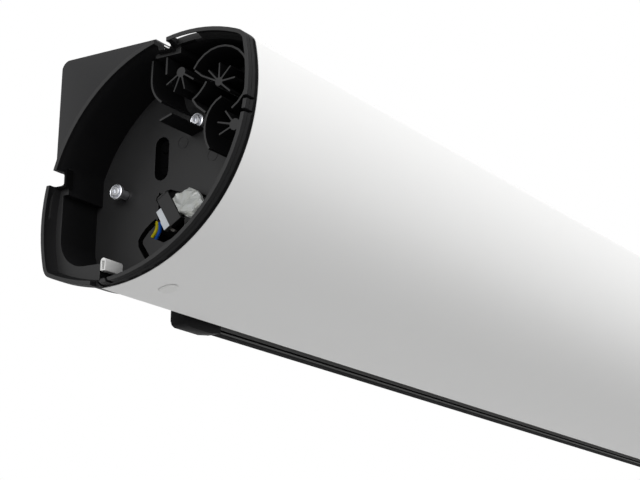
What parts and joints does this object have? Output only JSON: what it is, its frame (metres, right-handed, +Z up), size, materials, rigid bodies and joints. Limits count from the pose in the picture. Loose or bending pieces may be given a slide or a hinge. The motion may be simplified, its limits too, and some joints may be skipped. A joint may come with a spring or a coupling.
{
  "type": "motorized projector screen",
  "caption": "Wall or ceiling projector screen: a leaf-shaped aluminium case with a motor-driven roller that lowers a white fabric on a weighted bar.",
  "frame": {"origin": "mid-length of the case, on the line where the planes of the wall and the ceiling meet", "axes": "+X along the case away from the motor end, -Y towards the viewers, +Y into the wall, +Z up into the ceiling"},
  "size_m": [1.799, 0.1454, 0.146],
  "materials": {
    "white_shell": "white powder coat on extruded aluminium",
    "black_moulding": "black moulded plastic with a fine texture",
    "black_steel": "black powder coat on folded steel",
    "black_bar": "black anodised extrusion",
    "zinc_steel": "bright zinc plate",
    "bare_aluminium": "plain drawn tube",
    "motor_paint": "dark moulded motor head",
    "grey_plastic": "light grey moulding",
    "white_plastic": "white moulding",
    "nylon": "natural translucent nylon",
    "screen_fabric": "matt white projection fabric",
    "wire_brown": "brown insulation",
    "wire_earth": "yellow and green insulation",
    "wire_blue": "blue insulation"
  },
  "bodies": {
    "case": {"case_extrusion": "white_shell", "end_housing_left": "black_moulding", "end_housing_right": "black_moulding", "end_cover_right": "black_moulding", "cover_catch_left": "grey_plastic", "cover_catch_right": "grey_plastic", "access_plug_left": "white_plastic", "access_plug_right": "white_plastic", "motor_plate": "zinc_steel", "idler_plate": "zinc_steel", "motor_bolt_front": "zinc_steel", "motor_bolt_back": "zinc_steel", "idler_bolt_front": "zinc_steel", "idler_bolt_back": "zinc_steel", "motor_head": "motor_paint", "motor_tube": "bare_aluminium", "idler_holder": "black_moulding", "idler_bearing": "zinc_steel", "mains_connector": "white_plastic", "motor_connector": "nylon", "wire_brown": "wire_brown", "wire_earth": "wire_earth", "wire_blue": "wire_blue"},
    "roller": {"roller_tube": "bare_aluminium", "fabric_roll": "screen_fabric", "crown_ring": "black_moulding", "drive_wheel": "black_moulding", "motor_output_shaft": "zinc_steel", "idler_plug": "black_moulding", "idler_spindle": "zinc_steel"},
    "screen": {"slat_bar": "black_bar", "slat_cap_left": "black_moulding", "slat_cap_right": "black_moulding", "hem_rod": "grey_plastic", "fabric_strip": "screen_fabric"},
    "bracket_on_left": {"bracket_left": "black_steel", "clamp_screw_left": "zinc_steel", "clamp_nut_left": "zinc_steel"},
    "bracket_on_right": {"bracket_right": "black_steel", "clamp_screw_right": "zinc_steel", "clamp_nut_right": "zinc_steel"},
    "button_up": {"limit_button_up": "grey_plastic"},
    "button_down": {"limit_button_down": "grey_plastic"}
  },
  "joints": [
    {"name": "screen_drop", "type": "slide", "parent": "case", "child": "screen", "axis": [0, 0, -1], "range_m": [0, 1.2], "deforming": ["fabric_strip"]},
    {"name": "roller_spin", "type": "hinge", "parent": "case", "child": "roller", "pos_m": [0, -0.0585, -0.0625], "axis": [-1, 0, 0], "range_deg": [0, 2400]},
    {"name": "bracket_left_slide", "type": "slide", "parent": "case", "child": "bracket_on_left", "axis": [1, 0, 0], "range_m": [0, 0.3]},
    {"name": "bracket_right_slide", "type": "slide", "parent": "case", "child": "bracket_on_right", "axis": [-1, 0, 0], "range_m": [0, 0.3]},
    {"name": "limit_up_press", "type": "slide", "parent": "case", "child": "button_up", "axis": [1, 0, 0], "range_m": [0, 0.002], "stiffness_N_per_m": 300},
    {"name": "limit_down_press", "type": "slide", "parent": "case", "child": "button_down", "axis": [1, 0, 0], "range_m": [0, 0.002], "stiffness_N_per_m": 300}
  ],
  "couplings": [
    {"joint": "roller_spin", "follows": "screen_drop", "rad_per_m": 34.722}
  ]
}
